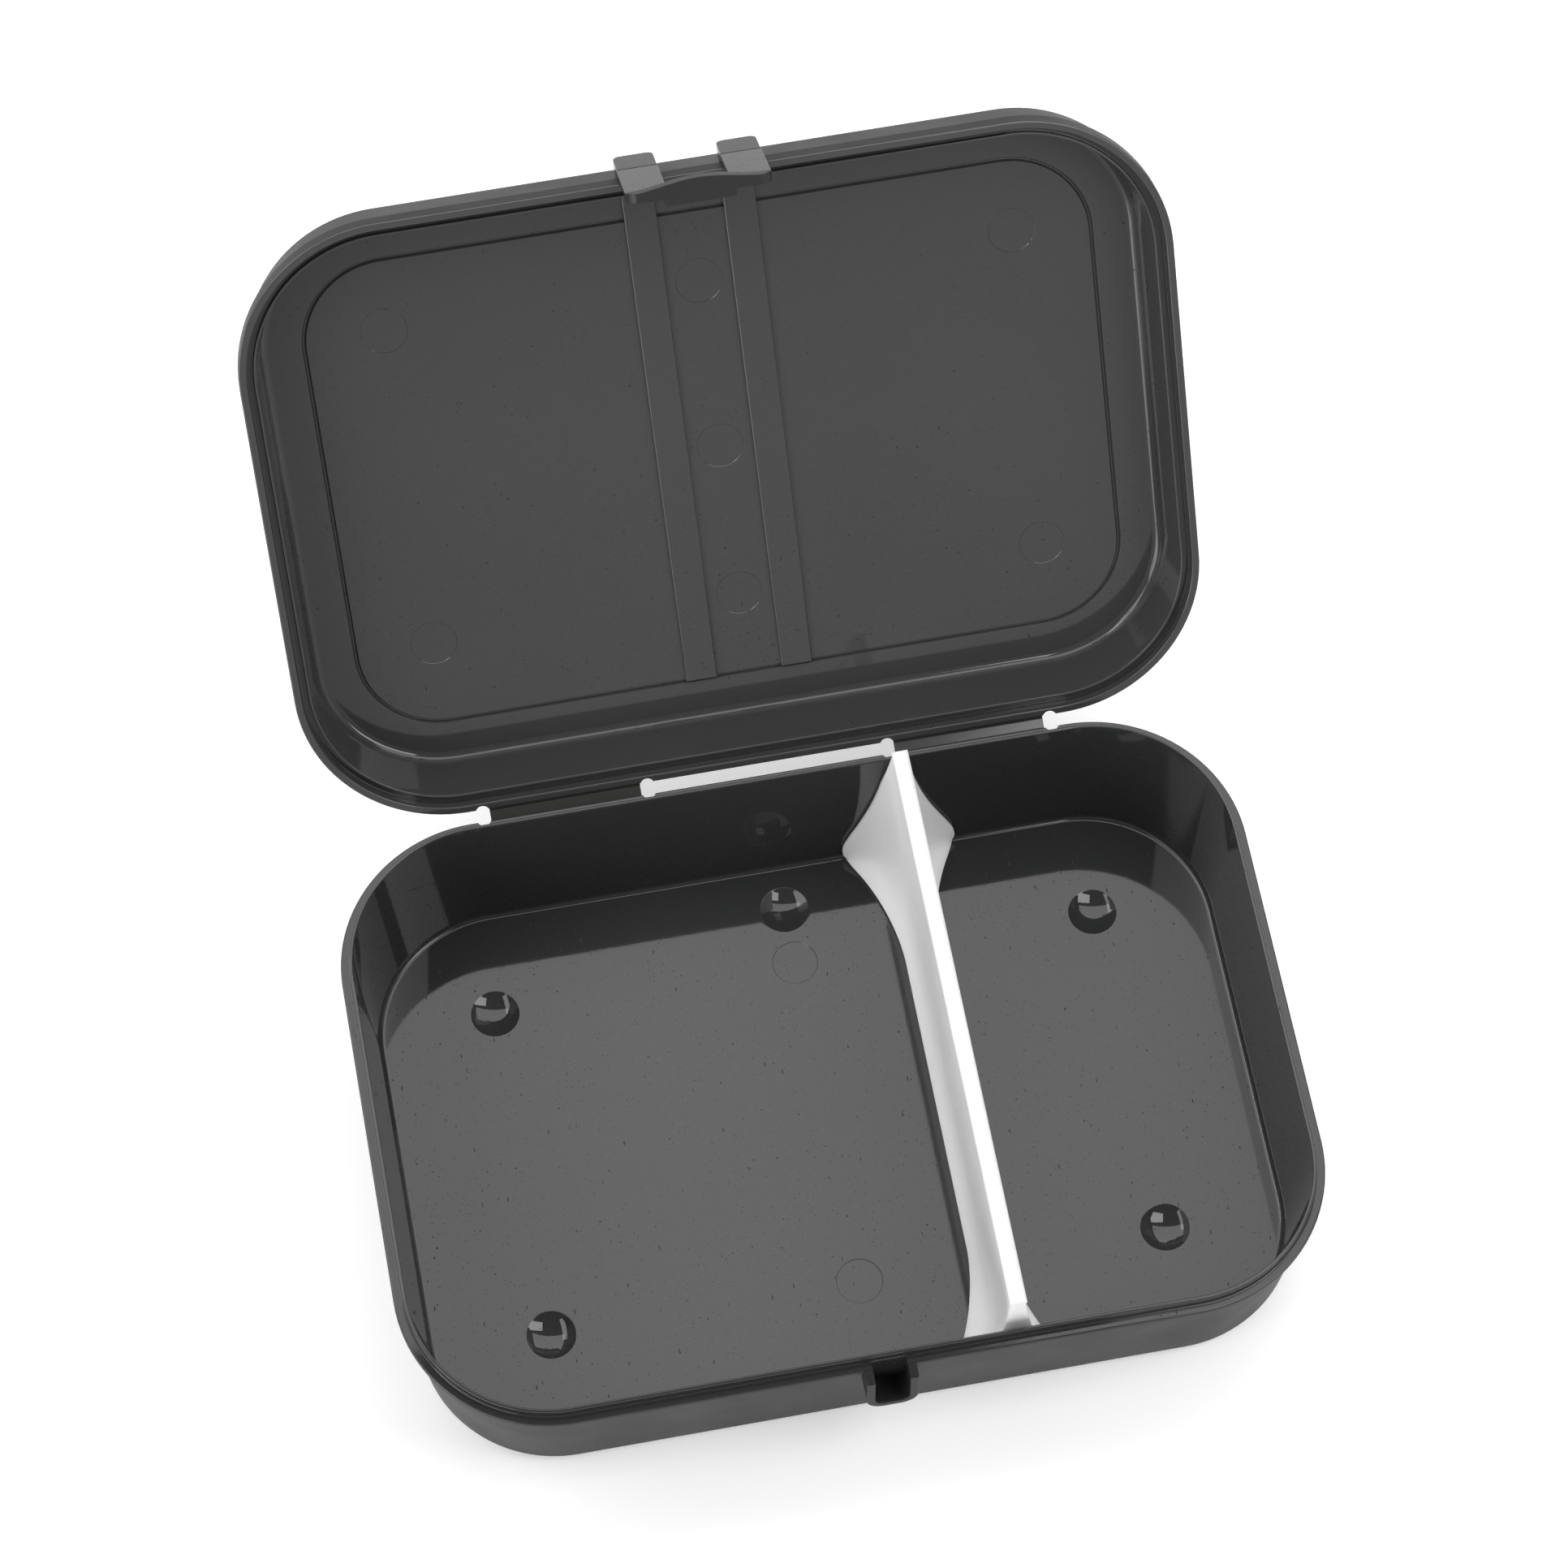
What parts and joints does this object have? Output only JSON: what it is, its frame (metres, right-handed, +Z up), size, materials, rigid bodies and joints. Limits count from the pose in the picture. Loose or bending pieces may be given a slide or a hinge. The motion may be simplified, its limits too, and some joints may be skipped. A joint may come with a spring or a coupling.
{
  "type": "lunch box",
  "caption": "Rectangular lunch box with rounded corners: deep tray, shallow lid on a living hinge, clip latch and a free-standing sliding divider.",
  "frame": {"origin": "centre of the tray's flat underside, which the feet hold above the table", "axes": "+Z up, +Y towards the hinge and the opened lid, -Y towards the latch, +X to the right of a user at the latch"},
  "size_m": [0.228, 0.2737, 0.189],
  "materials": {
    "tray_plastic": "polished inside, satin outside, with fine dark specks",
    "strap_plastic": "satin",
    "lid_plastic": "polished inside, satin outside, with fine dark specks",
    "clip_plastic": "satin",
    "divider_plastic": "soft matte white"
  },
  "bodies": {
    "base": {"tray": "tray_plastic"},
    "divider": {"divider": "divider_plastic"},
    "hinge_straps": {"hinge_strap_left": "strap_plastic", "hinge_strap_right": "strap_plastic"},
    "lid": {"lid": "lid_plastic", "latch_root_left": "clip_plastic", "latch_root_right": "clip_plastic"},
    "latch_flap": {"latch_flap": "clip_plastic"}
  },
  "joints": [
    {"name": "strap_fold", "type": "hinge", "parent": "base", "child": "hinge_straps", "pos_m": [0, 0.0805, 0.0398], "axis": [-1, 0, 0], "range_deg": [-62.9, 27.1]},
    {"name": "lid_fold", "type": "hinge", "parent": "hinge_straps", "child": "lid", "pos_m": [0, 0.08335, 0.04126], "axis": [-1, 0, 0], "range_deg": [-62.9, 27.1]},
    {"name": "latch_swing", "type": "hinge", "parent": "lid", "child": "latch_flap", "pos_m": [0, 0.18048, 0.17217], "axis": [-1, 0, 0], "range_deg": [0, 100]},
    {"name": "divider_slide", "type": "slide", "parent": "base", "child": "divider", "axis": [1, 0, 0], "range_m": [-0.091, 0.026]}
  ],
  "couplings": [
    {"joint": "strap_fold", "follows": "lid_fold", "ratio": 1}
  ]
}
